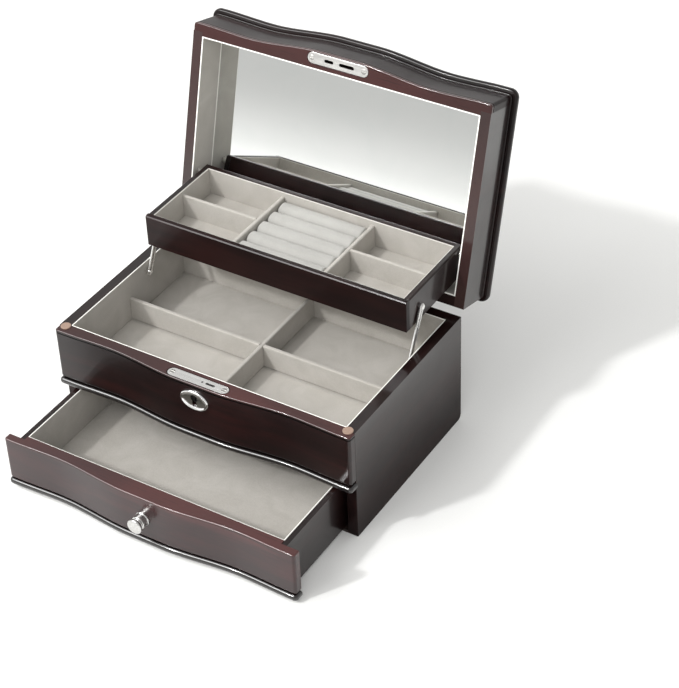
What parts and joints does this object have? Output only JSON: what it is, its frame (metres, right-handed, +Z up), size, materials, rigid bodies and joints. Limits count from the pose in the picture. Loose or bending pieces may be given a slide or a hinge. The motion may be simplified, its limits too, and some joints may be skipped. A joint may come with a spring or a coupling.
{
  "type": "jewelry box",
  "caption": "Serpentine-front wooden jewelry box with a mirrored hinged lid, a tray that rises with it, lined compartments, a lock and a front drawer.",
  "frame": {"origin": "centre of the case's footprint, on the underside of the bottom board", "axes": "+Z up, +Y towards the hinged back, +X to the right seen from the front"},
  "size_m": [0.2896, 0.359, 0.2827],
  "materials": {
    "lacquered_wood": "dark espresso-mahogany satin-gloss lacquer",
    "stained_board": "dark stained thin board",
    "suede_lining": "warm grey suede on card or foam",
    "ring_roll_suede": "pale grey suede on foam",
    "nickel_plate": "nickel plated, lightly brushed",
    "chrome_fittings": "polished chrome",
    "hinge_steel": "plated steel",
    "mirror_glass": "silvered mirror",
    "bumper_leather": "tan leather dot"
  },
  "bodies": {
    "case": {"left_side_panel": "lacquered_wood", "right_side_panel": "lacquered_wood", "back_panel": "lacquered_wood", "front_panel": "lacquered_wood", "front_bead": "lacquered_wood", "shelf_board": "stained_board", "bottom_board": "stained_board", "drawer_guides": "stained_board", "case_wall_lining": "suede_lining", "case_floor_pad": "suede_lining", "case_long_divider": "suede_lining", "case_cross_divider": "suede_lining", "bumper_pads": "bumper_leather", "hinge_case_leaves": "hinge_steel", "hinge_pins": "hinge_steel", "hinge_case_screws": "hinge_steel", "lock_body": "hinge_steel", "lock_top_plate": "nickel_plate", "lock_plate_screws": "nickel_plate", "escutcheon": "chrome_fittings", "link_case_rivets": "nickel_plate"},
    "lid": {"lid_top_panel": "lacquered_wood", "lid_front_rail": "lacquered_wood", "lid_back_rail": "lacquered_wood", "lid_left_rail": "lacquered_wood", "lid_right_rail": "lacquered_wood", "lid_wall_lining": "suede_lining", "lid_mirror": "mirror_glass", "strike_plate": "nickel_plate", "strike_plate_screws": "nickel_plate", "hinge_lid_leaves": "hinge_steel", "hinge_lid_screws": "hinge_steel", "lid_tray_pins": "nickel_plate"},
    "tray_links": {"left_tray_link": "nickel_plate", "right_tray_link": "nickel_plate"},
    "tray": {"tray_front_wall": "lacquered_wood", "tray_back_wall": "lacquered_wood", "tray_left_wall": "lacquered_wood", "tray_right_wall": "lacquered_wood", "tray_bottom": "stained_board", "tray_wall_lining": "suede_lining", "tray_floor_pad": "suede_lining", "tray_cross_dividers": "suede_lining", "tray_side_dividers": "suede_lining", "ring_rolls": "ring_roll_suede", "link_tray_rivets": "nickel_plate"},
    "drawer": {"drawer_front": "lacquered_wood", "drawer_bead": "lacquered_wood", "drawer_left_side": "lacquered_wood", "drawer_right_side": "lacquered_wood", "drawer_back": "lacquered_wood", "drawer_bottom": "stained_board", "drawer_wall_lining": "suede_lining", "drawer_floor_pad": "suede_lining", "drawer_knob": "chrome_fittings", "knob_screw": "hinge_steel"},
    "lock_barrel": {"lock_barrel": "hinge_steel"},
    "lock_bolt": {"lock_bolt": "nickel_plate"}
  },
  "joints": [
    {"name": "lid_hinge", "type": "hinge", "parent": "case", "child": "lid", "pos_m": [0, 0.0903, 0.1074], "axis": [1, 0, 0], "range_deg": [0, 105]},
    {"name": "tray_link_hinge", "type": "hinge", "parent": "case", "child": "tray_links", "pos_m": [0, 0.026, 0.0966], "axis": [1, 0, 0], "range_deg": [0, 105]},
    {"name": "tray_pivot", "type": "hinge", "parent": "tray_links", "child": "tray", "pos_m": [0, 0.0464, 0.1381], "axis": [1, 0, 0], "range_deg": [-105, 0]},
    {"name": "drawer_slide", "type": "slide", "parent": "case", "child": "drawer", "axis": [0, -1, 0], "range_m": [-0.0794, 0.025]},
    {"name": "bolt_slide", "type": "slide", "parent": "case", "child": "lock_bolt", "axis": [0, 0, 1], "range_m": [0, 0.006]},
    {"name": "lock_turn", "type": "hinge", "parent": "case", "child": "lock_barrel", "pos_m": [0, -0.085, 0.091], "axis": [0, 1, 0], "range_deg": [0, 90]}
  ],
  "couplings": [
    {"joint": "tray_link_hinge", "follows": "lid_hinge", "ratio": 1},
    {"joint": "tray_pivot", "follows": "lid_hinge", "ratio": -1},
    {"joint": "lock_turn", "follows": "bolt_slide", "rad_per_m": 261.7}
  ]
}
